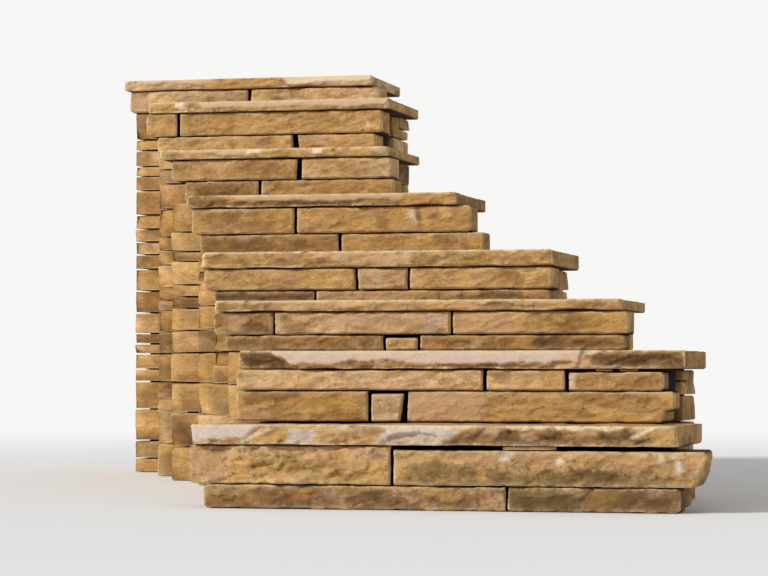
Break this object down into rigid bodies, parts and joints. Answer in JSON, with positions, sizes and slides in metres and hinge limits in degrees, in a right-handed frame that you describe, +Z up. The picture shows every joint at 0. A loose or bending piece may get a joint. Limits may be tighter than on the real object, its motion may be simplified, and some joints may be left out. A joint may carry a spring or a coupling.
{
  "type": "sandstone garden stairs",
  "caption": "Dry-laid sandstone garden stairs that sweep to the left as they climb, each riser of split-face blocks under one long flagstone tread.",
  "frame": {"origin": "on the ground plane, in the middle of the footprint, under the core of the fourth step", "axes": "+X along the risers to the right of someone who climbs, +Y up the climb, +Z up"},
  "size_m": [2.5803, 3.0816, 1.525],
  "materials": {
    "sandstone": "rough",
    "slab_sandstone": "rough",
    "rubble": "rough"
  },
  "bodies": {
    "root": {"step_1_core": "rubble", "step_1_lower_left": "sandstone", "step_1_lower_right": "sandstone", "step_1_shim": "sandstone", "step_1_tread": "slab_sandstone", "step_1_upper_left": "sandstone", "step_1_upper_right": "sandstone", "step_2_core": "rubble", "step_2_lower_left": "sandstone", "step_2_lower_middle": "sandstone", "step_2_lower_right": "sandstone", "step_2_shim": "sandstone", "step_2_tread": "slab_sandstone", "step_2_upper_left": "sandstone", "step_2_upper_middle": "sandstone", "step_2_upper_right": "sandstone", "step_3_core": "rubble", "step_3_lower_left": "sandstone", "step_3_lower_middle": "sandstone", "step_3_lower_right": "sandstone", "step_3_tread": "slab_sandstone", "step_3_upper_left": "sandstone", "step_3_upper_middle": "sandstone", "step_3_upper_right": "sandstone", "step_4_core": "rubble", "step_4_lower_left": "sandstone", "step_4_lower_right": "sandstone", "step_4_tread": "slab_sandstone", "step_4_upper_left": "sandstone", "step_4_upper_middle": "sandstone", "step_4_upper_right": "sandstone", "step_5_core": "rubble", "step_5_lower_left": "sandstone", "step_5_lower_right": "sandstone", "step_5_tread": "slab_sandstone", "step_5_upper_left": "sandstone", "step_5_upper_right": "sandstone", "step_6_core": "rubble", "step_6_lower_left": "sandstone", "step_6_lower_right": "sandstone", "step_6_tread": "slab_sandstone", "step_6_upper_left": "sandstone", "step_6_upper_right": "sandstone", "step_7_core": "rubble", "step_7_lower_left": "sandstone", "step_7_lower_right": "sandstone", "step_7_tread": "slab_sandstone", "step_7_upper_left": "sandstone", "step_7_upper_right": "sandstone", "step_8_core": "rubble", "step_8_lower_left": "sandstone", "step_8_lower_right": "sandstone", "step_8_tread": "slab_sandstone"}
  },
  "joints": []
}
